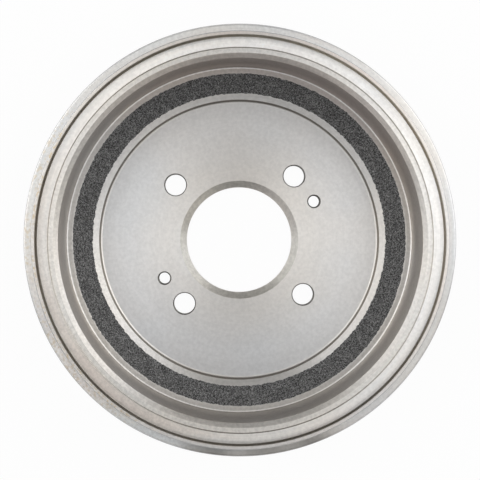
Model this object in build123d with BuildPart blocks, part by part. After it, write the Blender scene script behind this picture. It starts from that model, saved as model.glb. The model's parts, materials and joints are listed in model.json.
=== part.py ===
from build123d import *

import os
from math import isclose, radians, tan

# Rear brake drum of a small car: one grey-iron casting, turned where it works.
# +Z runs along the drum's axis, from the wheel side to the open side. The origin is the
# centre of the hub bore on the wheel face, so the drum stands on that face, open side up.
# Sizes are in millimetres, angles in degrees.

# Hub plate, the closed end
overall_height = 60.0  # wheel face to the end of the lip
plate_thickness = 7.0  # wheel face to hub seat
bore_diameter = 62.5
bore_lead_width = 3.8  # lead-in of the bore on the hub seat, along the radius
bore_lead_depth = 2.4
bore_edge_break = 0.8  # chamfer of the bore on the wheel face
wheel_face_diameter = 150.0  # turned land that the road wheel is clamped to
wheel_face_rise = 0.8  # the land stands this far out of the cast back
cast_back_slope = 4.0  # the cast back leans away from the wheel

# Holes in the hub plate
bolt_circle_diameter = 100.0
stud_count = 4
stud_hole_diameter = 12.5
stud_edge_break = 0.5
first_stud_angle = 45.0
jack_count = 2
jack_core_diameter = 6.65  # core of an M8 x 1.25 thread
jack_mouth_width = 0.75  # chamfer at each mouth of a jack hole
jack_offset_angle = -22.1  # from a stud hole to its jack hole, seen from the open side

# Turned step around the hub seat
seat_step_height = 3.0
seat_step_lean = 0.55  # the step's foot lies this far inside its top edge
seat_corner_break = 0.7
ledge_width = 3.7  # turned ledge above the step
ledge_rise = 1.2

# Unmachined ramp and the turned ring at the deep end of the braking surface
ramp_width = 11.1  # from the ledge out to the ring, along the radius
ring_width = 3.9  # from the ramp out to the braking surface
ring_height = 10.2  # the ring lies this far above the hub seat
ring_corner_break = 0.65

# Braking surface and its mouth. All other rings are set out from this diameter, in and out.
braking_diameter = 203.2
mouth_lead_width = 2.6  # lead-in for the brake shoes, along the radius
mouth_lead_depth = 1.5
end_face_width = 2.6  # flat end face, from the mouth out to the lip

# Lip, the highest ring of the open end
lip_width = 6.1
lip_step = 1.0  # the lip stands this far above the flat end face
lip_step_lean = 0.4
lip_crown_width = 1.6  # the lip's outer edge is eased, more along the radius than down
lip_crown_depth = 0.4

# Shoulder and flange around the lip, which the backing plate's rim runs beside
shoulder_drop = 4.5  # end of the lip to the shoulder
shoulder_width = 2.2  # flat shoulder outside the groove
shoulder_edge_break = 0.5
lip_groove_width = 2.0  # turned groove at the foot of the lip, along the radius
lip_groove_depth = 2.2  # below the shoulder
lip_groove_lean = 0.9  # its outer flank leans back this far
flange_drop = 12.6  # end of the lip to the flange
flange_width = 5.1  # the flange stands out this far past the shoulder
flange_thickness = 10.0
flange_slope = 1.5  # the flange's open side falls away outwards
flange_edge_break = 0.7
flange_root_break = 3.0

# Cast outside
wall_thickness = 8.0  # behind the braking surface, at the flange
wall_draft = 1.0
back_corner_radius = 14.0

# Heights and radii that follow
bore_radius = bore_diameter / 2
land_radius = wheel_face_diameter / 2
braking_radius = braking_diameter / 2
ramp_radius = braking_radius - ring_width
ledge_radius = ramp_radius - ramp_width
step_top_radius = ledge_radius - ledge_width
step_foot_radius = step_top_radius - seat_step_lean
mouth_radius = braking_radius + mouth_lead_width
lip_inner_radius = mouth_radius + end_face_width
lip_outer_radius = lip_inner_radius + lip_width
groove_radius = lip_outer_radius + lip_groove_width
shoulder_radius = groove_radius + shoulder_width
flange_radius = shoulder_radius + flange_width
wall_radius = braking_radius + wall_thickness

step_top = plate_thickness + seat_step_height
ledge_top = step_top + ledge_rise
ring_level = plate_thickness + ring_height
end_face = overall_height - lip_step
mouth_level = end_face - mouth_lead_depth
shoulder_level = overall_height - shoulder_drop
groove_level = shoulder_level - lip_groove_depth
flange_top = overall_height - flange_drop
flange_rim_top = flange_top - (flange_radius - shoulder_radius) * tan(radians(flange_slope))
flange_bottom = flange_rim_top - flange_thickness

back_radius = wall_radius - flange_bottom * tan(radians(wall_draft))
back_level = wheel_face_rise + (back_radius - land_radius) * tan(radians(cast_back_slope))

# Corners of the half section, (radius, height), that are rounded or broken
back_corner = (back_radius, back_level)
flange_root = (wall_radius, flange_bottom)
flange_lower_edge = (flange_radius, flange_bottom)
flange_upper_edge = (flange_radius, flange_rim_top)
shoulder_edge = (shoulder_radius, shoulder_level)
ring_corner = (braking_radius, ring_level)
step_foot = (step_foot_radius, plate_thickness)

corner_breaks = {
    flange_root: flange_root_break,
    flange_lower_edge: flange_edge_break,
    flange_upper_edge: flange_edge_break,
    shoulder_edge: shoulder_edge_break,
    ring_corner: ring_corner_break,
    step_foot: seat_corner_break,
}

with BuildPart() as drum:
    # The turned casting: its half section, from the wheel face outwards and back inside
    with BuildSketch(Plane.XZ) as section:
        with BuildLine():
            Polyline(
                (bore_radius + bore_edge_break, 0),
                (land_radius, 0),
                (land_radius, wheel_face_rise),
                back_corner,
                flange_root,
                flange_lower_edge,
                flange_upper_edge,
                (shoulder_radius, flange_top),
                shoulder_edge,
                (groove_radius, shoulder_level),
                (groove_radius - lip_groove_lean, groove_level),
                (lip_outer_radius, groove_level),
                (lip_outer_radius, overall_height - lip_crown_depth),
                (lip_outer_radius - lip_crown_width, overall_height),
                (lip_inner_radius + lip_step_lean, overall_height),
                (lip_inner_radius, end_face),
                (mouth_radius, end_face),
                (braking_radius, mouth_level),
                ring_corner,
                (ramp_radius, ring_level),
                (ledge_radius, ledge_top),
                (step_top_radius, step_top),
                step_foot,
                (bore_radius + bore_lead_width, plate_thickness),
                (bore_radius, plate_thickness - bore_lead_depth),
                (bore_radius, bore_edge_break),
                close=True,
            )
        make_face()
        for corner, width in corner_breaks.items():
            chamfer(section.vertices().sort_by_distance(corner)[0], width)
        fillet(section.vertices().sort_by_distance(back_corner)[0], back_corner_radius)
    revolve(axis=Axis.Z)

    # Clearance holes for the wheel studs, and tapped holes to jack the drum off its hub
    with Locations(Plane.XY.offset(plate_thickness)):
        with PolarLocations(bolt_circle_diameter / 2, stud_count, first_stud_angle):
            Hole(stud_hole_diameter / 2)
        first_jack_angle = first_stud_angle + jack_offset_angle
        with PolarLocations(bolt_circle_diameter / 2, jack_count, first_jack_angle):
            Hole(jack_core_diameter / 2)

    # Edge breaks at both mouths of every hole
    for hole_diameter, edge_break in (
        (stud_hole_diameter, stud_edge_break),
        (jack_core_diameter, jack_mouth_width),
    ):
        circles = drum.edges().filter_by(GeomType.CIRCLE)
        mouths = circles.filter_by(lambda edge: isclose(edge.radius, hole_diameter / 2))
        chamfer(mouths, edge_break)

os.makedirs("parts", exist_ok=True)
drum.part.label = "brake_drum"
export_step(drum.part, "parts/brake_drum.step")
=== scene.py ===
import json
import math
from types import SimpleNamespace

import bmesh
import bpy
import numpy as np
from mathutils import Matrix, Vector, noise
from mathutils.geometry import delaunay_2d_cdt


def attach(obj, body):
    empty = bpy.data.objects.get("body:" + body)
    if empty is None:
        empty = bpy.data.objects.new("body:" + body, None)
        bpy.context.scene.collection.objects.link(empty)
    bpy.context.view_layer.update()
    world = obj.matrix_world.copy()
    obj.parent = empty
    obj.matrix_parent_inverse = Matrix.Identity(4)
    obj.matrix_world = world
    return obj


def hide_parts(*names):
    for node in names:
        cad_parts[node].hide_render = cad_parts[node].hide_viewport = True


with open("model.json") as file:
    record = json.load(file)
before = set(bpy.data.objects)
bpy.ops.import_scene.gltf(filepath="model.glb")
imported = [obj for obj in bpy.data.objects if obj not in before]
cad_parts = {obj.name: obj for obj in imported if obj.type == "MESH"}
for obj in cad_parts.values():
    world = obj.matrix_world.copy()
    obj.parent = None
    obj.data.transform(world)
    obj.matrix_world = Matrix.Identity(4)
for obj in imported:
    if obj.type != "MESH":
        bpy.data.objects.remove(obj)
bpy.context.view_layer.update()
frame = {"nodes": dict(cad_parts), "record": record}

MM = 0.001
NODE = "brake_drum"
MOUNTS = {mount["name"]: mount for mount in frame["record"]["mounts"]}

# ------------------------------------------------------------ sizes read from the frame

BRAKING_RADIUS = MOUNTS["braking_surface"]["dims"]["r_mm"] * MM
BOLT_CIRCLE_RADIUS = MOUNTS["wheel_studs"]["dims"]["pcd_mm"] / 2 * MM
STUD_HOLE_RADIUS = MOUNTS["wheel_studs"]["dims"]["hole_r_mm"] * MM
STUD_COUNT = MOUNTS["wheel_studs"]["dims"]["count"]
FIRST_STUD_ANGLE = math.radians(45)
JACK_CORE_RADIUS = MOUNTS["jack_screw_a"]["dims"]["r_mm"] * MM
SEAT_LEVEL = MOUNTS["hub_seat"]["pos_m"][2]

# ----------------------------------------------------- sizes that only the looks need

THREAD_PITCH = 1.25 * MM
THREAD_MAJOR_RADIUS = 4.0 * MM
THREAD_HALF_CREST = 0.125  # half of the flat at the core, as a share of the pitch
THREAD_FLANK = 0.3125  # one flank, as a share of the pitch
THREAD_ROWS = 56

# Vertices round the drum by finish, and round a hole. The first divides the next two.
TURNED_STEPS = 360
CAST_STEPS = 720
RAMP_STEPS = 1080
HOLE_STEPS = 72
THREAD_STEPS = 48

# Radii of the small rounds that the node has as plain corners or chamfers
EDGE_ROUND = 0.22 * MM  # any turned edge without a round of its own
HOLE_EDGE_ROUND = 0.08 * MM
CORNER_ROUND = 1.37 * MM  # nose of the tool that turned the inner corners
CROWN_ROUND = 0.6 * MM  # both sides of the lip's eased edge
FINE_ROUND = 0.06 * MM  # foot of the lip's inner step
GROOVE_ROUND = 0.55 * MM
RIM_ROUND = 1.4 * MM  # upper side of the flange's edge
ROUND_STEP = math.radians(24)  # turn of the surface from row to row on a round
ROUND_ROOM = 0.48  # share of a stretch that a round at one end may take
MOUTH_FLAT = 1.0 * MM  # stretch of flat beside a hole's mouth, for its round to start on
PLATE_REACH = 1.1  # the faces that hold the holes end at this multiple of the holes' own reach

# Borders between turned and cast surfaces, and the grain of the cast ones
JAG = 0.48 * MM  # how far a cut edge wanders where it leaves the cast skin
JAG_SCALE = 1.5 * MM
JAG_MARGIN = 1.0 * MM  # the turned surface is plain again this far from the border
SKIN_DROP = 0.1 * MM  # the cast skin lies this far below the edge of the cut beside it
RAMP_GRAIN = 0.9 * MM
RAMP_ROUGHNESS = 0.2 * MM
RAMP_ROW = 0.5 * MM
BACK_GRAIN = 2.3 * MM
BACK_ROUGHNESS = 0.13 * MM
BACK_SINK = 0.9  # share of its roughness by which the back's grain is sunk, to stay in the box
BACK_ROW = 2.1 * MM

# Limits in reading the node's half section
WELD = 0.001 * MM  # vertices closer than this are one
ON_PLANE = 0.0001 * MM
SAME_CORNER = 0.02 * MM
STRAIGHT = math.radians(1)  # a smaller turn isn't a corner


def node_points():
    """The CAD node's vertices, one row each."""
    mesh = frame["nodes"][NODE].data
    points = np.zeros(len(mesh.vertices) * 3, np.float32)
    mesh.vertices.foreach_get("co", points)
    return points.reshape(-1, 3).astype(float)


POINTS = node_points()


def half_section():
    """Corners (radius, height) of the node's half section, counted from the bore's edge on the
    wheel face outwards, up the outside and back down the inside.
    """
    cut = bmesh.new()
    cut.from_mesh(frame["nodes"][NODE].data)
    bmesh.ops.remove_doubles(cut, verts=cut.verts, dist=WELD)
    everything = cut.verts[:] + cut.edges[:] + cut.faces[:]
    plane = {"plane_co": (0, 0, 0), "plane_no": (1, 0, 0)}
    found = bmesh.ops.bisect_plane(cut, geom=everything, dist=ON_PLANE, **plane)
    edges = [g for g in found["geom_cut"] if isinstance(g, bmesh.types.BMEdge)]
    neighbours = {}
    for edge in edges:
        a, b = edge.verts
        if min(a.co.y, b.co.y) > 0:
            neighbours.setdefault(a, []).append(b)
            neighbours.setdefault(b, []).append(a)
    # The wheel face is the lowest, and the bore's edge is its innermost corner
    start = min(neighbours, key=lambda v: v.co.y + 10 * v.co.z)
    walk = [start]
    here = max(neighbours[start], key=lambda v: v.co.y)
    while here is not start:
        walk.append(here)
        here = next(v for v in neighbours[here] if v is not walk[-2])
    loop = [(v.co.y, v.co.z) for v in walk]
    cut.free()

    # A facet's middle lies inside its circle, so each corner takes the radius and height of
    # the nearest ring of the node's own vertices
    rings = np.stack([np.hypot(POINTS[:, 0], POINTS[:, 1]), POINTS[:, 2]], 1)
    rings = np.unique(np.round(rings, 6), axis=0)
    snapped = []
    for corner in loop:
        ring = rings[np.argmin(np.hypot(*(rings - corner).T))]
        others = snapped[-1:] + snapped[:1]
        if all(np.hypot(*(ring - other)) > SAME_CORNER for other in others):
            snapped.append(ring)
    kept = []
    for k, corner in enumerate(snapped):
        before = corner - snapped[k - 1]
        after = snapped[(k + 1) % len(snapped)] - corner
        cross = before[0] * after[1] - before[1] * after[0]
        if abs(cross / (np.hypot(*before) * np.hypot(*after))) > math.sin(STRAIGHT):
            kept.append((float(corner[0]), float(corner[1])))
    return kept


SECTION = half_section()


def name_corners():
    """Places in SECTION of the corners that have a finish, round or surface of their own."""
    places = range(len(SECTION))
    at = SimpleNamespace(land_foot=2)
    at.flange_edge = max(places, key=lambda k: (SECTION[k][0], SECTION[k][1]))
    at.underside_edge = at.flange_edge - 2
    at.crown_top = max(places, key=lambda k: SECTION[k][1])
    at.crown_low = at.crown_top - 1
    at.lip_edge = at.crown_top + 1
    at.groove_inner = at.crown_top - 2
    at.groove_outer = at.crown_top - 3
    at.groove_edge = at.crown_top - 4
    inside = places[at.crown_top :]
    bored = [k for k in inside if abs(SECTION[k][0] - BRAKING_RADIUS) < SAME_CORNER / 2]
    at.braking_top, at.braking_low = bored
    at.ring_outer = at.braking_low + 1
    at.ring_inner = at.braking_low + 2
    at.ramp_foot = at.braking_low + 3
    at.step_top = at.braking_low + 4
    at.step_low = at.braking_low + 5
    at.seat_edge = at.braking_low + 6
    at.lead_edge = at.braking_low + 7
    return at


CORNER = name_corners()
CROWN_LIFT = 0.25 * MM  # the lip's eased edge is this much flatter than the node's plain chamfer
CROWN_RADIUS, CROWN_LEVEL = SECTION[CORNER.crown_low]
SECTION[CORNER.crown_low] = (CROWN_RADIUS, CROWN_LEVEL + CROWN_LIFT)


def mouth_radius(centre, level):
    """Radius of the mouth that a hole of the CAD node has at that level."""
    near = POINTS[abs(POINTS[:, 2] - level) < WELD][:, :2] - centre
    return float(np.hypot(*near.T).min())


# -------------------------------------------------------------------------- materials

PHOTO_TURN_ANGLE = 4.3  # the photograph's axes stand this far round from the frame's, in degrees


class Nodes:
    """A node tree, with short calls to add, link and calculate."""

    def __init__(self, tree):
        self.tree = tree

    def add(self, kind, **settings):
        made = self.tree.nodes.new(kind)
        for key, value in settings.items():
            setattr(made, key, value)
        return made

    def link(self, source, target):
        self.tree.links.new(source, target)

    def maths(self, operation, first, second):
        """A Math node's result. Each operand is a socket or a number."""
        made = self.add("ShaderNodeMath", operation=operation)
        for slot, value in enumerate((first, second)):
            if isinstance(value, (int, float)):
                made.inputs[slot].default_value = value
            else:
                self.link(value, made.inputs[slot])
        return made.outputs[0]

    def reflected(self, rays):
        """1 on rays that come from a mirror or through glass, so that these show the backdrop."""
        return self.maths("MAXIMUM", rays["Is Glossy Ray"], rays["Is Transmission Ray"])


class Shader(Nodes):
    """A material's nodes, with short calls for the ones that the finishes share."""

    def __init__(self, name):
        self.material = bpy.data.materials.new(name)
        self.material.use_nodes = True
        super().__init__(self.material.node_tree)
        self.surface = self.tree.nodes["Principled BSDF"]

    def position(self):
        return self.add("ShaderNodeTexCoord").outputs["Object"]

    def round_the_axis(self):
        """Sockets: distance from the drum's axis, height, and the bearing's cosine and sine."""
        place = self.position()
        flat = self.add("ShaderNodeVectorMath", operation="MULTIPLY")
        flat.inputs[1].default_value = (1, 1, 0)
        self.link(place, flat.inputs[0])
        length = self.add("ShaderNodeVectorMath", operation="LENGTH")
        self.link(flat.outputs[0], length.inputs[0])
        unit = self.add("ShaderNodeVectorMath", operation="NORMALIZE")
        self.link(flat.outputs[0], unit.inputs[0])
        bearing = self.add("ShaderNodeSeparateXYZ")
        self.link(unit.outputs[0], bearing.inputs[0])
        height = self.add("ShaderNodeSeparateXYZ")
        self.link(place, height.inputs[0])
        cosine, sine = bearing.outputs["X"], bearing.outputs["Y"]
        return length.outputs["Value"], height.outputs["Z"], cosine, sine

    def arcs(self, width, turns, seed, detail=2.0):
        """Noise in arcs round the axis. The width is across them, in metres, and they break off
        sooner the more turns there are.
        """
        radius, height, cosine, sine = self.round_the_axis()
        half_cell, seed_gap = 0.5, 11.3
        vector = self.add("ShaderNodeCombineXYZ")
        across = self.maths("ADD", self.maths("MULTIPLY", radius, 1 / width), half_cell)
        self.link(across, vector.inputs[0])
        self.link(self.maths("MULTIPLY", height, 1 / width), vector.inputs[1])
        self.link(self.maths("MULTIPLY", cosine, turns), vector.inputs[2])
        along = self.maths("MULTIPLY", sine, turns)
        made = self.add("ShaderNodeTexNoise", noise_dimensions="4D")
        made.inputs["Scale"].default_value = 1
        made.inputs["Detail"].default_value = detail
        self.link(vector.outputs[0], made.inputs["Vector"])
        self.link(self.maths("ADD", along, seed * seed_gap), made.inputs["W"])
        return made.outputs["Fac"]

    def towards(self, bearing, spread, seed=31, uneven=0.25):
        """1 at that bearing round the axis, fading out unevenly to 0 at the spread on both sides.

        Both are in degrees, and the bearing counts from the photograph's right.
        """
        _, _, cosine, sine = self.round_the_axis()
        turn = math.radians(bearing - PHOTO_TURN_ANGLE)
        near = self.maths("MULTIPLY", cosine, math.cos(turn))
        near = self.maths("ADD", near, self.maths("MULTIPLY", sine, math.sin(turn)))
        wobble = self.maths("SUBTRACT", self.spots(30 * MM, seed, 1.0), 0.5)
        near = self.maths("ADD", near, self.maths("MULTIPLY", wobble, uneven))
        span = self.add("ShaderNodeMapRange", interpolation_type="SMOOTHSTEP")
        span.inputs["From Min"].default_value = math.cos(math.radians(spread))
        span.inputs["From Max"].default_value = 1.0
        self.link(near, span.inputs["Value"])
        return span.outputs[0]

    def spots(self, size, seed, detail=2.0, distortion=0.0):
        """Noise of that size in metres, the same in every direction."""
        made = self.add("ShaderNodeTexNoise", noise_dimensions="4D")
        made.inputs["Scale"].default_value = 1 / size
        made.inputs["Detail"].default_value = detail
        made.inputs["Distortion"].default_value = distortion
        made.inputs["W"].default_value = seed
        self.link(self.position(), made.inputs["Vector"])
        return made.outputs["Fac"]

    def ramp(self, source, *stops):
        """Colours between stops, each a place from 0 to 1 and a linear colour or grey."""
        made = self.add("ShaderNodeValToRGB")
        for k, (place, colour) in enumerate(stops):
            stop = made.color_ramp.elements[k] if k < 2 else made.color_ramp.elements.new(place)
            stop.position = place
            grey = (colour, colour, colour) if isinstance(colour, (int, float)) else colour
            stop.color = (*grey, 1)
        self.link(source, made.inputs[0])
        return made.outputs["Color"]

    def blend(self, mode, factor, first, second):
        """Two colours mixed. The factor is a socket or a number, each colour a socket or tuple."""
        made = self.add("ShaderNodeMix", data_type="RGBA", blend_type=mode)
        slots = (made.inputs["Factor"], made.inputs[6], made.inputs[7])
        for slot, value in zip(slots, (factor, first, second)):
            if isinstance(value, (int, float)):
                slot.default_value = value
            elif isinstance(value, tuple):
                slot.default_value = (*value, 1)
            else:
                self.link(value, slot)
        return made.outputs[2]

    def colour(self, source):
        self.link(source, self.surface.inputs["Base Color"])

    def roughness(self, source, low, high):
        """Roughness from low to high over the range that most of a noise lies in."""
        made = self.add("ShaderNodeMapRange")
        made.inputs["From Min"].default_value = 0.3
        made.inputs["From Max"].default_value = 0.7
        made.inputs["To Min"].default_value = low
        made.inputs["To Max"].default_value = high
        self.link(source, made.inputs["Value"])
        self.link(made.outputs[0], self.surface.inputs["Roughness"])

    def bump(self, source, strength, depth):
        made = self.add("ShaderNodeBump")
        made.inputs["Strength"].default_value = strength
        made.inputs["Distance"].default_value = depth
        self.link(source, made.inputs["Height"])
        self.link(made.outputs[0], self.surface.inputs["Normal"])


WARM = (1.015, 1.0, 0.97)
COOL = (0.995, 1.0, 1.0)


def turned_iron(name, colour, roughness, marks=0.05, mottle=0.06, relief=0.25, tints=(COOL, WARM)):
    """Bare grey iron with the fine rings that a lathe tool leaves, mottled and toned a little.

    The marks and mottle are shares by which the colour varies, and the relief is a bump strength.
    """
    cool, warm = tints
    shader = Shader(name)
    surface = shader.surface
    surface.inputs["Metallic"].default_value = 1.0
    surface.inputs["Anisotropic"].default_value = 0.6
    surface.inputs["Anisotropic Rotation"].default_value = 0.25
    tangent = shader.add("ShaderNodeTangent", direction_type="RADIAL", axis="Z")
    shader.link(tangent.outputs["Tangent"], surface.inputs["Tangent"])

    fine = shader.arcs(0.9 * MM, turns=3.0, seed=1)
    broad = shader.arcs(6 * MM, turns=0.8, seed=2)
    speckle = shader.spots(1.9 * MM, seed=3, detail=3.0)
    less = 0.8 * marks
    shade = shader.ramp(fine, (0.3, 1 - marks), (0.7, 1 + marks))
    for layer in (
        shader.ramp(broad, (0.3, 1 - less), (0.7, 1 + less)),
        shader.ramp(speckle, (0.35, 1 - mottle), (0.65, 1 + mottle)),
        shader.ramp(shader.spots(55 * MM, seed=4, detail=1.0), (0.4, cool), (0.6, warm)),
        colour,
    ):
        shade = shader.blend("MULTIPLY", 1.0, shade, layer)
    shader.colour(shade)
    shader.roughness(fine, roughness - less, roughness + less)
    shader.bump(fine, relief, 0.02 * MM)
    return shader


def base_colour(shader):
    """The socket that gives the base colour so far."""
    return shader.surface.inputs["Base Color"].links[0].from_socket


def tone_by_radius(shader, inner, outer, *stops, share=1.0):
    """Multiplies the base colour by a tone that depends on the distance from the axis.

    The share is a number, or a socket where the tone isn't the same all round.
    """
    span = shader.add("ShaderNodeMapRange")
    span.inputs["From Min"].default_value = inner
    span.inputs["From Max"].default_value = outer
    shader.link(shader.round_the_axis()[0], span.inputs["Value"])
    tone = shader.ramp(span.outputs[0], *stops)
    shader.colour(shader.blend("MULTIPLY", share, base_colour(shader), tone))


def tone_by_bearing(shader, patches):
    """Multiplies the base colour by tones that fade out to both sides of a bearing round the axis.

    Each patch is its bearing, its spread to both sides in degrees, and a colour or a grey.
    """
    for bearing, spread, tone in patches:
        tone = (tone, tone, tone) if isinstance(tone, float) else tone
        share = shader.towards(bearing, spread)
        shader.colour(shader.blend("MULTIPLY", share, base_colour(shader), tone))


def hub_face_iron():
    """The wheel and hub faces: warmer round the bore, with a painted warm reflection on one side
    and a painted cool one on the other, and a little darker towards the step.
    """
    shader = turned_iron(
        "turned_face",
        (0.655, 0.655, 0.655),
        roughness=0.45,
        marks=0.02,
        mottle=0.05,
        tints=((0.997, 1.0, 1.003), (1.014, 1.0, 0.985)),
    )
    by_the_bore = ((0.2, (1.02, 0.995, 0.96)), (0.6, (1.0, 1.0, 1.0)))
    by_the_step = ((0.1, 1.0), (0.8, 0.93), (0.88, 0.93), (0.95, 1.0))
    tone_by_radius(shader, 30 * MM, 90 * MM, *by_the_bore)
    tone_by_radius(shader, 68 * MM, 84 * MM, *by_the_step)
    # Painted warm and cool reflections on two sides of the face
    tone_by_bearing(shader, FACE_PATCHES)
    return shader


# The rim's rougher side and its rusty ones: bearing and spread, in degrees
ROUGH_SIDE = (215, 65)
RUST_SIDES = ((222, 36), (170, 20))
RUST = (0.60, 0.49, 0.33)


def rim_iron(name, colour, roughness, patches=(), stain=0.0, rust=0.0, **turning):
    """Turned iron of the open rim: patches of painted light, painted shade and painted tinted
    reflection, tints in arcs, a rougher side, specks of rust.

    The stain and rust are shares from 0 to 1. The rest goes to turned_iron.
    """
    shader = turned_iron(name, colour, roughness, **turning)
    # Painted light, painted shade and painted tinted reflection, each on one side of the band
    tone_by_bearing(shader, patches)
    if stain:
        hue = shader.ramp(
            shader.arcs(5 * MM, turns=2.2, seed=7, detail=1.0),
            (0.30, (0.97, 0.995, 1.015)),
            (0.42, (1.0, 1.0, 1.0)),
            (0.56, (1.03, 0.99, 0.95)),
            (0.70, (1.03, 0.94, 0.90)),
        )
        shader.colour(shader.blend("MULTIPLY", stain, base_colour(shader), hue))
    coarse = shader.spots(1.2 * MM, seed=14, detail=3.0)
    coarse = shader.ramp(coarse, (0.38, 0.93), (0.62, 1.06))
    side = shader.towards(*ROUGH_SIDE)
    shader.colour(shader.blend("MULTIPLY", side, base_colour(shader), coarse))
    if rust:
        specks = shader.spots(1.9 * MM, seed=12, detail=3.0)
        specks = shader.ramp(specks, (0.50, 0.0), (0.62, rust))
        sides = (shader.towards(*place, seed=9, uneven=0.5) for place in RUST_SIDES)
        share = shader.maths("MULTIPLY", specks, shader.maths("MAXIMUM", *sides))
        shader.colour(shader.blend("MIX", share, base_colour(shader), RUST))
    return shader


def lip_iron():
    """The lip: paler, with a painted pinkish reflection on one side, painted shade towards its
    eased outer edge, and painted light lifting that edge on one side.
    """
    shader = rim_iron("turned_lip", (0.79, 0.778, 0.765), 0.42, LIP_PATCHES, stain=0.25)
    # Painted shade darkening towards the lip's eased outer edge, and painted light that lifts that
    # edge again on one side
    painted_edge_shade = ((0.0, 1.0), (0.25, 0.96), (0.55, 0.88), (0.8, 0.77), (1.0, 0.64))
    painted_edge_light = ((0.2, 1.0), (0.55, 1.1), (0.8, 1.2), (1.0, 1.3))
    one_side = shader.towards(228, 62)
    start = CROWN_RADIUS - 3.5 * MM
    tone_by_radius(shader, start, CROWN_RADIUS, *painted_edge_shade)
    tone_by_radius(shader, start, CROWN_RADIUS, *painted_edge_light, share=one_side)
    return shader


def cast_skin(name, dark, light, size, depth, patchy):
    """Dark, grainy skin that the sand mould leaves, with grains of that size and depth."""
    shader = Shader(name)
    shader.surface.inputs["Specular IOR Level"].default_value = 0.25
    grains = shader.spots(size, seed=20, detail=2.5, distortion=0.6)
    patches = shader.spots(size * 9, seed=21, detail=1.0)
    between = (dark + light) * 0.32
    colour = shader.ramp(grains, (0.34, dark), (0.50, between), (0.66, light))
    mottle = shader.ramp(patches, (0.35, 1 - patchy), (0.65, 1 + patchy))
    shader.colour(shader.blend("MULTIPLY", 1.0, colour, mottle))
    shader.roughness(grains, 0.62, 0.5)
    shader.bump(grains, 1.0, depth)
    return shader


# Patches of painted light, painted shade and painted tinted reflection on the finishes, each on one
# side of a band round the axis: bearing, spread to both sides, and colour or grey
# The face: a painted warm reflection on one side and a painted cool one on the other
FACE_PATCHES = ((60, 95, (1.014, 1.0, 0.984)), (238, 80, (0.990, 1.0, 1.014)))
# The braking wall: a painted pinkish reflection on one side
WALL_PATCHES = ((70, 75, (1.0, 0.93, 0.92)),)
# The mouth and the ring: a painted pinkish reflection on one side
LEAD_PATCHES = ((80, 80, (1.0, 0.95, 0.93)),)
# The shelf: a painted bluish reflection on one side and a painted pinkish one on another
SHELF_PATCHES = ((270, 45, (0.97, 0.985, 1.01)), (60, 50, (1.0, 0.97, 0.96)))
# The groove's flank: painted light on one side
FLANK_PATCHES = ((230, 60, 1.35),)
# The lip's step: painted light on three sides and painted shade on one
STEP_PATCHES = ((35, 70, 1.5), (150, 40, 1.3), (215, 38, 1.15), (275, 40, 0.82))
# The groove: painted light on one side and painted shade on the other
GROOVE_PATCHES = ((30, 85, 1.7), (255, 60, 0.75))
# The flange: a painted dark reflection on one side, painted light on two others and painted shade
# on a fourth
FLANGE_PATCHES = ((275, 25, (0.47, 0.465, 0.46)), (90, 40, 1.17), (225, 35, 1.15), (0, 40, 0.92))
# The lip: painted shade on one side, a painted pinkish reflection on another and painted light on a
# third
LIP_PATCHES = ((205, 75, (0.80, 0.785, 0.775)), (225, 45, (1.0, 0.965, 0.935)), (90, 48, 1.2))
# The ledge: painted shade on one side
LEDGE_PATCHES = ((270, 35, 0.72),)
# The bore: painted warm reflections on two sides
BORE_PATCHES = ((45, 50, (1.02, 0.99, 0.99)), (135, 60, (1.02, 1.0, 0.97)))
# The corner at the wall's foot: painted shade on one side and painted light on another
CORNER_PATCHES = ((200, 60, 0.85), (70, 40, 1.06))

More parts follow.
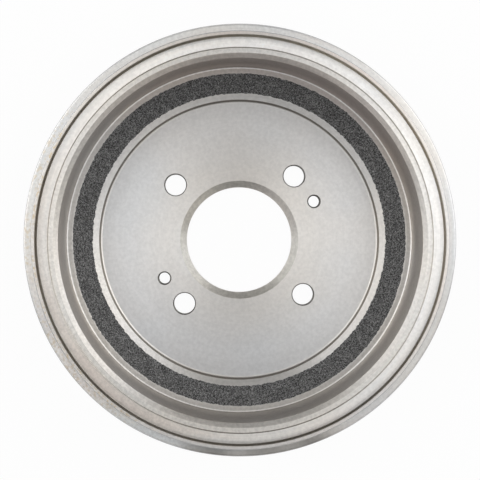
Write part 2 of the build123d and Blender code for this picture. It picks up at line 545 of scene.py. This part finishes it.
EVEN = {"marks": 0.0, "mottle": 0.02, "relief": 0.03}  # a corner, cut by the tool's nose
HONED = {"marks": 0.012, "mottle": 0.09, "relief": 0.03}  # the smoothest turning
SMOOTH, PLAIN = 0.42, 0.45  # roughness of most turned surfaces
FINISHES = {
    "face": hub_face_iron(),
    "ledge": rim_iron("turned_ledge", (0.655, 0.64, 0.625), PLAIN, LEDGE_PATCHES),
    # The riser's dark grey is painted shade on the inward-facing wall of the step
    "riser": turned_iron("step_riser", (0.30, 0.28, 0.255), PLAIN),
    "flange": rim_iron(
        "turned_flange", (0.69, 0.69, 0.69), SMOOTH, FLANGE_PATCHES, stain=0.45, rust=0.5
    ),
    # The edge's darker grey is painted shade on the flange's outer edge and on the step between the
    # flange and the shelf
    "edge": turned_iron("flange_edge", (0.485, 0.485, 0.492), SMOOTH),
    "shelf": rim_iron(
        "turned_shelf", (0.71, 0.688, 0.668), SMOOTH, SHELF_PATCHES, stain=0.35, rust=0.8
    ),
    "lip": lip_iron(),
    "groove": rim_iron("groove_floor", (0.36, 0.335, 0.29), 0.5, GROOVE_PATCHES),
    "flank": rim_iron("groove_flank", (0.60, 0.58, 0.56), PLAIN, FLANK_PATCHES),
    # The lip step's dark grey is painted shade on its inward-facing wall
    "step": rim_iron("lip_step", (0.43, 0.41, 0.385), PLAIN, STEP_PATCHES),
    "end": rim_iron("end_face", (0.695, 0.675, 0.65), SMOOTH, mottle=0.09),
    "mouth": rim_iron("turned_mouth", (0.565, 0.545, 0.52), SMOOTH, LEAD_PATCHES, mottle=0.09),
    # The braking wall's darker grey is painted shade
    "braking": rim_iron("braking_surface", (0.515, 0.482, 0.455), 0.3, WALL_PATCHES, **HONED),
    # The corner's pale grey is a painted highlight on the round at the wall's foot
    "corner": rim_iron("wall_corner", (0.80, 0.785, 0.768), SMOOTH, CORNER_PATCHES, relief=0.03),
    # The nose's paler grey is a painted highlight on the round at the seat's corner
    "nose": turned_iron("seat_corner", (0.70, 0.685, 0.67), SMOOTH, **EVEN),
    # The ring's darker grey is painted shade at the foot of the wall
    "ring": rim_iron("turned_ring", (0.54, 0.526, 0.51), 0.48, LEAD_PATCHES, mottle=0.08),
    "bore": rim_iron("bored_wall", (0.55, 0.54, 0.515), PLAIN, BORE_PATCHES, mottle=0.1),
    "hole": turned_iron("drilled_wall", (0.21, 0.205, 0.195), 0.5),
    "ramp": cast_skin("ramp_skin", 0.006, 0.29, 0.55 * MM, depth=0.3 * MM, patchy=0.08),
    "back": cast_skin("cast_skin", 0.035, 0.15, 0.65 * MM, depth=0.15 * MM, patchy=0.12),
}
FINISH_ORDER = list(FINISHES)

# ------------------------------------------------------------------- the drum's surface


def circle(steps, radius, height):
    """Points round the axis. The radius and height are numbers, or arrays with one value a step."""
    angle = np.arange(steps) * 2 * math.pi / steps
    radius, height = np.broadcast_to(radius, steps), np.broadcast_to(height, steps)
    return np.stack([radius * np.cos(angle), radius * np.sin(angle), height], 1)


class Surface:
    """Vertices, faces and vertex normals of one closed mesh. Blender works out a zero normal."""

    def __init__(self):
        self.points, self.normals, self.faces, self.finishes = [], [], [], []

    def ring(self, steps, radius, height, slope=(0, 0), centre=(0, 0)):
        """A ring of vertices. The slope is the section's outward normal (radial, axial), the
        same all round.
        """
        first = len(self.points)
        self.points.extend(map(tuple, circle(steps, radius, height) + (*centre, 0)))
        self.normals.extend(map(tuple, circle(steps, *slope)))
        return np.arange(first, len(self.points))

    def face(self, corners, finish):
        self.faces.append(tuple(int(c) for c in corners))
        self.finishes.append(FINISH_ORDER.index(finish))

    def join(self, first, second, finish):
        """Faces between two rings, whose counts are equal or whole multiples."""
        if len(second) == len(first):
            for k in range(len(first)):
                after = (k + 1) % len(first)
                self.face((first[k], first[after], second[after], second[k]), finish)
            return
        coarse, fine = (first, second) if len(first) < len(second) else (second, first)
        ratio = len(fine) // len(coarse)
        middle = ratio // 2
        for k in range(len(coarse)):
            here, after = coarse[k], coarse[(k + 1) % len(coarse)]
            steps = [fine[(k * ratio + j) % len(fine)] for j in range(ratio + 1)]
            triangles = [(here, steps[j + 1], steps[j]) for j in range(middle)]
            triangles.append((here, after, steps[middle]))
            triangles += [(after, steps[j + 1], steps[j]) for j in range(middle, ratio)]
            for triangle in triangles:
                self.face(triangle if coarse is first else triangle[::-1], finish)

    def plate(self, outer, inner, holes, finish, upwards):
        """A flat ring of faces between two rings of vertices, round the mouths of holes."""
        loops = [outer, inner, *holes]
        members = np.concatenate(loops)
        flat = [Vector(self.points[i][:2]) for i in members]
        edges, first = [], 0
        for loop in loops:
            count = len(loop)
            edges += [(first + k, first + (k + 1) % count) for k in range(count)]
            first += count
        whole_hull, tolerance = 0, 1e-9
        triangles = delaunay_2d_cdt(flat, edges, [], whole_hull, tolerance)[2]
        openings = []
        for loop in loops[1:]:
            rim = np.array([self.points[i][:2] for i in loop])
            centre = rim.mean(0)
            openings.append((centre, np.hypot(*(rim - centre).T).min()))
        for triangle in triangles:
            corners = [members[i] for i in triangle]
            a, b, c = (np.array(self.points[i][:2]) for i in corners)
            middle = (a + b + c) / 3
            if any(np.hypot(*(middle - centre)) < radius for centre, radius in openings):
                continue
            counter_clockwise = (b - a)[0] * (c - a)[1] - (b - a)[1] * (c - a)[0] > 0
            self.face(corners if counter_clockwise == upwards else corners[::-1], finish)

    def object(self, name):
        mesh = bpy.data.meshes.new(name)
        mesh.from_pydata(self.points, [], self.faces)
        for key in FINISH_ORDER:
            mesh.materials.append(FINISHES[key].material)
        mesh.polygons.foreach_set("material_index", self.finishes)
        mesh.polygons.foreach_set("use_smooth", [True] * len(self.faces))
        mesh.validate()
        mesh.normals_split_custom_set_from_vertices(self.normals)
        mesh.update()
        made = bpy.data.objects.new(name, mesh)
        bpy.context.scene.collection.objects.link(made)
        return made


def rounded(corner, before, after, radius):
    """Rows (radius, height, normal) of the round on a corner of the section."""
    corner, before, after = map(np.array, (corner, before, after))
    into = (corner - before) / np.hypot(*(corner - before))
    away = (after - corner) / np.hypot(*(after - corner))
    turn = math.atan2(into[0] * away[1] - into[1] * away[0], into @ away)
    room = ROUND_ROOM * min(np.hypot(*(corner - before)), np.hypot(*(after - corner)))
    setback = min(radius * math.tan(abs(turn) / 2), room)
    radius = setback / math.tan(abs(turn) / 2)
    side = math.copysign(1, turn)
    centre = corner - into * setback + side * radius * np.array((-into[1], into[0]))
    steps = max(2, round(abs(turn) / ROUND_STEP))
    rows = []
    for k in range(steps + 1):
        cosine, sine = math.cos(turn * k / steps), math.sin(turn * k / steps)
        direction = (into[0] * cosine - into[1] * sine, into[0] * sine + into[1] * cosine)
        outwards = (float(direction[1]), float(-direction[0]))
        point = centre + side * radius * np.array(outwards)
        rows.append((float(point[0]), float(point[1]), outwards))
    return rows


def wander(steps, radius, scale, seed):
    """A smooth random value about 0 for each step round the drum, in two sizes."""
    seed_gap = 7.3
    fineness, share, shift = 2.3, 0.6, Vector((3, 7, 1))
    values = []
    for place in circle(steps, radius, seed * seed_gap * MM):
        spot = Vector(place) / scale
        values.append(noise.noise(spot) + share * noise.noise(spot * fineness + shift))
    return np.array(values)


def grain(points, scale, seed):
    """Random bumps about 0 at points in space, in three sizes."""
    sizes = ((1.0, 1.0), (2.03, 0.6), (0.31, 0.35))  # fineness and height
    shift = Vector((3.1, 1.7, 5.9)) * seed
    values = []
    for point in points:
        spot = Vector(point) / scale + shift
        values.append(sum(height * noise.noise(spot * fineness) for fineness, height in sizes))
    return np.array(values)


def hole_rings(surface, centre):
    """A plain through hole with broken edges, from the hub seat down to the wheel face."""
    top = mouth_radius(centre, SEAT_LEVEL)
    low = mouth_radius(centre, 0)
    section = [
        (top + MOUTH_FLAT, SEAT_LEVEL),
        (top, SEAT_LEVEL),
        (STUD_HOLE_RADIUS, SEAT_LEVEL - (top - STUD_HOLE_RADIUS)),
        (STUD_HOLE_RADIUS, low - STUD_HOLE_RADIUS),
        (low, 0),
        (low + MOUTH_FLAT, 0),
    ]
    rings = []
    for before, corner, after in zip(section, section[1:], section[2:]):
        for radius, height, slope in rounded(corner, before, after, HOLE_EDGE_ROUND):
            rings.append(surface.ring(HOLE_STEPS, radius, height, slope, centre))
    for above, below in zip(rings, rings[1:]):
        surface.join(above, below, "hole")
    return rings[0], rings[-1]


def thread_rings(surface, centre):
    """A tapped hole: the core's wall cut by a right-hand V thread, with a chamfer at each mouth."""
    top = mouth_radius(centre, SEAT_LEVEL)
    low = mouth_radius(centre, 0)
    turn = np.arange(THREAD_STEPS) / THREAD_STEPS
    rings = []
    for k in range(THREAD_ROWS + 1):
        height = SEAT_LEVEL * (1 - k / THREAD_ROWS)
        phase = (height / THREAD_PITCH - turn) % 1
        from_crest = 0.5 - abs(phase - 0.5)
        depth = np.clip((from_crest - THREAD_HALF_CREST) / THREAD_FLANK, 0, 1)
        radius = JACK_CORE_RADIUS + (THREAD_MAJOR_RADIUS - JACK_CORE_RADIUS) * depth
        mouth = max(top - (SEAT_LEVEL - height), low - height)
        slope = {0: (0, 1), THREAD_ROWS: (0, -1)}.get(k, (0, 0))
        rings.append(surface.ring(THREAD_STEPS, np.maximum(radius, mouth), height, slope, centre))
    for above, below in zip(rings, rings[1:]):
        surface.join(above, below, "hole")
    return rings[0], rings[-1]


def ramp(surface, last):
    """The unmachined ramp between the turned ring and the ledge, with both cuts' ragged edges."""
    top, foot = SECTION[CORNER.ring_inner], SECTION[CORNER.ramp_foot]
    ledge_end = SECTION[CORNER.step_top]
    ledge_rise = (foot[1] - ledge_end[1]) / (foot[0] - ledge_end[0])
    pitch = math.atan2(top[1] - foot[1], top[0] - foot[0])
    outwards = (-math.sin(pitch), math.cos(pitch))

    outer_radius = top[0] + JAG * wander(RAMP_STEPS, top[0], JAG_SCALE, seed=1)
    inner_radius = foot[0] + JAG * wander(RAMP_STEPS, foot[0], JAG_SCALE, seed=2)
    outer_height = np.full(RAMP_STEPS, top[1])
    inner_height = foot[1] + (inner_radius - foot[0]) * ledge_rise
    ring_row = surface.ring(TURNED_STEPS, top[0] + JAG_MARGIN, top[1], (0, 1))
    surface.join(last, ring_row, "ring")
    previous = surface.ring(RAMP_STEPS, outer_radius, outer_height)
    surface.join(ring_row, previous, "ring")
    rows = round(math.hypot(top[0] - foot[0], top[1] - foot[1]) / RAMP_ROW)
    for k in range(1, rows):
        share = k / rows
        radius = outer_radius * (1 - share) + inner_radius * share
        height = outer_height * (1 - share) + inner_height * share
        spots = circle(RAMP_STEPS, radius, height)
        lift = RAMP_ROUGHNESS * grain(spots, RAMP_GRAIN, seed=3) - SKIN_DROP
        row = surface.ring(RAMP_STEPS, radius + outwards[0] * lift, height + outwards[1] * lift)
        surface.join(previous, row, "ramp")
        previous = row
    last_row = surface.ring(RAMP_STEPS, inner_radius, inner_height)
    surface.join(previous, last_row, "ramp")

    length = math.hypot(ledge_rise, 1)
    ledge_row = surface.ring(
        TURNED_STEPS,
        foot[0] - JAG_MARGIN,
        foot[1] - JAG_MARGIN * ledge_rise,
        (-ledge_rise / length, 1 / length),
    )
    surface.join(last_row, ledge_row, "ledge")
    return ledge_row


def back(surface, last):
    """The cast outside, from the foot of the wheel face's land to the flange's underside."""
    path = np.array(SECTION[CORNER.land_foot : CORNER.underside_edge + 1])
    lengths = np.hypot(*np.diff(path, axis=0).T)
    reach = np.concatenate([[0], np.cumsum(lengths)])
    stations = np.linspace(0, reach[-1], round(reach[-1] / BACK_ROW) + 1)
    kept_corners = [1, -3, -2]  # places in the path of those that have a row to themselves
    stations = np.unique(np.concatenate([stations, reach[kept_corners]]))
    radii = np.interp(stations, reach, path[:, 0])
    heights = np.interp(stations, reach, path[:, 1])
    previous = last
    end = len(radii) - 1
    for k, (radius, height) in enumerate(zip(radii, heights)):
        after, before = min(k + 1, end), max(k - 1, 0)
        along = np.array((radii[after] - radii[before], heights[after] - heights[before]))
        along /= np.hypot(*along)
        lift = 0
        if 0 < k < end:
            bumps = grain(circle(CAST_STEPS, radius, height), BACK_GRAIN, seed=5)
            lift = BACK_ROUGHNESS * (bumps - BACK_SINK)
        row = surface.ring(CAST_STEPS, radius + along[1] * lift, height - along[0] * lift)
        surface.join(previous, row, "face" if k == 0 else "back")
        previous = row
    return previous


# Finishes of the section's stretches, by the corner that each starts at
STRETCHES = {
    CORNER.flange_edge: "edge",
    CORNER.groove_edge - 2: "edge",
    CORNER.groove_edge - 1: "shelf",
    CORNER.groove_edge: "flank",
    CORNER.groove_outer: "groove",
    CORNER.groove_inner: "groove",
    CORNER.crown_low: "lip",
    CORNER.crown_top: "lip",
    CORNER.lip_edge: "step",
    CORNER.lip_edge + 1: "end",
    CORNER.lip_edge + 2: "mouth",
    CORNER.braking_top: "braking",
    CORNER.braking_low: "corner",
    CORNER.ring_outer: "ring",
    CORNER.ramp_foot: "ledge",
    CORNER.step_top: "riser",
    CORNER.step_low: "nose",
    CORNER.lead_edge: "bore",
}

# Corners whose round looks like the stretch before it. The others look like the one after.
LIKE_BEFORE = (
    CORNER.groove_outer,
    CORNER.braking_low,
    CORNER.ring_outer,
    CORNER.step_low,
    CORNER.seat_edge,
)

# Radii of the rounds, where EDGE_ROUND isn't the one
ROUNDS = {
    CORNER.flange_edge: EDGE_ROUND * 2,
    CORNER.flange_edge + 1: RIM_ROUND,
    CORNER.groove_edge: GROOVE_ROUND,
    CORNER.crown_top: CROWN_ROUND,
    CORNER.crown_low: CROWN_ROUND,
    CORNER.groove_inner: GROOVE_ROUND,
    CORNER.groove_outer: GROOVE_ROUND,
    CORNER.lip_edge + 1: FINE_ROUND,
    CORNER.braking_low: CORNER_ROUND,
    CORNER.ring_outer: CORNER_ROUND,
    CORNER.step_low: CORNER_ROUND,
    CORNER.seat_edge: CORNER_ROUND,
}


def stretch_finish(k):
    """The finish of the section's stretch that starts at corner k."""
    rest = "flange" if CORNER.land_foot <= k < CORNER.groove_edge else "face"
    return STRETCHES.get(k, rest)


def build_drum():
    """The whole casting as one closed surface, lathed corner by corner of its half section."""
    surface = Surface()
    turns = [FIRST_STUD_ANGLE + k * 2 * math.pi / STUD_COUNT for k in range(STUD_COUNT)]
    studs = [(BOLT_CIRCLE_RADIUS * math.cos(a), BOLT_CIRCLE_RADIUS * math.sin(a)) for a in turns]
    jacks = [tuple(MOUNTS[name]["pos_m"][:2]) for name in ("jack_screw_a", "jack_screw_b")]
    mouths = [hole_rings(surface, centre) for centre in studs]
    mouths += [thread_rings(surface, centre) for centre in jacks]
    top_mouths, low_mouths = zip(*mouths)
    plate_edge = (BOLT_CIRCLE_RADIUS + STUD_HOLE_RADIUS) * PLATE_REACH

    first = last = None
    for k, corner in enumerate(SECTION):
        if CORNER.land_foot < k <= CORNER.underside_edge or k == CORNER.ramp_foot:
            continue
        if k == CORNER.land_foot:
            last = back(surface, last)
            continue
        if k == CORNER.ring_inner:
            last = ramp(surface, last)
            continue
        before, after = SECTION[k - 1], SECTION[(k + 1) % len(SECTION)]
        rows = rounded(corner, before, after, ROUNDS.get(k, EDGE_ROUND))
        rings = [surface.ring(TURNED_STEPS, *row) for row in rows]
        if k == CORNER.lead_edge:
            split = surface.ring(TURNED_STEPS, plate_edge, SEAT_LEVEL, (0, 1))
            surface.join(last, split, "face")
            surface.plate(split, rings[0], top_mouths, "face", upwards=True)
        elif k == 1:
            split = surface.ring(TURNED_STEPS, plate_edge, 0, (0, -1))
            surface.plate(split, last, low_mouths, "face", upwards=False)
            surface.join(split, rings[0], "face")
        elif last is not None:
            surface.join(last, rings[0], stretch_finish(k - 1))
        for one, other in zip(rings, rings[1:]):
            surface.join(one, other, stretch_finish(k - 1 if k in LIKE_BEFORE else k))
        first = rings[0] if first is None else first
        last = rings[-1]
    surface.join(last, first, "bore")
    return surface.object(NODE + "_casting")


drum = build_drum()
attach(drum, "root")
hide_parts(NODE)

# ------------------------------------------------------------------- camera and stage

PHOTO_TURN = Matrix.Rotation(math.radians(-PHOTO_TURN_ANGLE), 4, "Z")
# Both fitted to the rings and holes in the photograph
CAMERA_PLACE = Vector((-13.8 * MM, 7.27 * MM, SEAT_LEVEL + 770 * MM))
CAMERA_TARGET = Vector((0.416 * MM, -0.16 * MM, SEAT_LEVEL))
SENSOR_WIDTH = 36  # in millimetres, like the focal length
FOCAL_LENGTH = 97.05
FURTHEST_SEEN = 50

FLOOR_HALF = 4.0
SQUARE = ((-1, -1), (1, -1), (1, 1), (-1, 1))
FLOOR_LEVEL = -0.1 * MM  # just clear of the wheel face
PAPER = (0.8, 0.8, 0.8)
PAPER_WHITE = 0.96  # share of the paper that shows plain white, whatever shadow falls on it

EVEN_LIGHT = 0.3  # strength of the world's light on the drum
BACKDROP_STARTS = math.sin(math.radians(12))  # reflected rays lower than this fade to white
BACKDROP_WHOLE = math.sin(math.radians(5))

LAMP_DISTANCE = 1.4
LAMP_AIM = Vector((0, 0, 30 * MM))


def add_camera():
    """The photograph's view, almost straight down into the open side."""
    data = bpy.data.cameras.new("camera")
    data.sensor_width = SENSOR_WIDTH
    data.lens = FOCAL_LENGTH
    data.clip_end = FURTHEST_SEEN
    made = bpy.data.objects.new("camera", data)
    bpy.context.scene.collection.objects.link(made)
    forward = (CAMERA_TARGET - CAMERA_PLACE).normalized()
    right = forward.cross(Vector((0, 1, 0))).normalized()
    looking = Matrix((right, right.cross(forward), -forward)).transposed().to_4x4()
    made.matrix_world = PHOTO_TURN @ Matrix.Translation(CAMERA_PLACE) @ looking
    bpy.context.scene.camera = made


def mix(nodes, share, first, second):
    """The first node's shader, with that share of the second's."""
    mixed = nodes.add("ShaderNodeMixShader")
    for slot, source in enumerate((share, first.outputs[0], second.outputs[0])):
        nodes.link(source, mixed.inputs[slot])
    return mixed.outputs[0]


def add_floor():
    """White paper. The camera and reflections see it as white, with a faint share of shadow."""
    mesh = bpy.data.meshes.new("floor")
    corners = [(x * FLOOR_HALF, y * FLOOR_HALF, FLOOR_LEVEL) for x, y in SQUARE]
    mesh.from_pydata(corners, [], [(0, 1, 2, 3)])
    made = bpy.data.objects.new("floor", mesh)
    bpy.context.scene.collection.objects.link(made)
    paper = Shader("paper")
    paper.surface.inputs["Base Color"].default_value = (*PAPER, 1)
    paper.surface.inputs["Roughness"].default_value = 1
    glow = paper.add("ShaderNodeEmission")
    rays = paper.add("ShaderNodeLightPath").outputs
    seen = paper.maths("MAXIMUM", rays["Is Camera Ray"], paper.reflected(rays))
    seen = paper.maths("MULTIPLY", seen, PAPER_WHITE)
    out = paper.tree.nodes["Material Output"].inputs["Surface"]
    paper.link(mix(paper, seen, paper.surface, glow), out)
    mesh.materials.append(paper.material)


def add_world():
    """Plain even light from all round. The camera sees it as white, and so do low reflections."""
    world = bpy.data.worlds.new("studio")
    bpy.context.scene.world = world
    world.use_nodes = True
    nodes = Nodes(world.node_tree)
    even = nodes.tree.nodes["Background"]
    white = nodes.add("ShaderNodeBackground")
    for walls, level in ((even, EVEN_LIGHT), (white, 1)):
        walls.inputs["Color"].default_value = (1, 1, 1, 1)
        walls.inputs["Strength"].default_value = level
    direction = nodes.add("ShaderNodeSeparateXYZ")
    nodes.link(nodes.add("ShaderNodeTexCoord").outputs["Generated"], direction.inputs[0])
    low = nodes.add("ShaderNodeMapRange")
    low.inputs["From Min"].default_value = BACKDROP_STARTS
    low.inputs["From Max"].default_value = BACKDROP_WHOLE
    nodes.link(direction.outputs["Z"], low.inputs["Value"])
    rays = nodes.add("ShaderNodeLightPath").outputs
    mirrored = nodes.maths("MULTIPLY", nodes.reflected(rays), low.outputs[0])
    seen = nodes.maths("MAXIMUM", mirrored, rays["Is Camera Ray"])
    nodes.link(mix(nodes, seen, even, white), nodes.tree.nodes["World Output"].inputs["Surface"])


def softbox(name, bearing, elevation, size, power):
    """A soft lamp aimed at the drum. Its bearing counts from the photograph's right, in degrees,
    its size is width and height, and its power is in watts.
    """
    data = bpy.data.lights.new(name, "AREA")
    data.shape = "RECTANGLE"
    data.size, data.size_y = size
    data.energy = power
    made = bpy.data.objects.new(name, data)
    bpy.context.scene.collection.objects.link(made)
    turn, rise = math.radians(bearing), math.radians(elevation)
    flat = LAMP_DISTANCE * math.cos(rise)
    height = LAMP_DISTANCE * math.sin(rise)
    place = Vector((flat * math.cos(turn), flat * math.sin(turn), height))
    made.location = PHOTO_TURN @ place + LAMP_AIM
    made.rotation_euler = (LAMP_AIM - made.location).to_track_quat("-Z", "Y").to_euler()


add_camera()
add_floor()
add_world()
softbox("right_low", 20, 20, (1.4, 0.6), 4.9)
softbox("right_high", 25, 48, (1.2, 0.8), 4.9)
softbox("left_low", 160, 20, (1.4, 0.6), 5.8)
softbox("left_high", 160, 58, (1.2, 0.8), 4.3)
softbox("front_right", 315, 38, (0.8, 0.8), 0.9)
softbox("front_left", 225, 36, (0.8, 0.8), 1.0)
softbox("overhead", 0, 78, (0.8, 0.8), 2.1)

bpy.context.scene.view_settings.view_transform = "Standard"
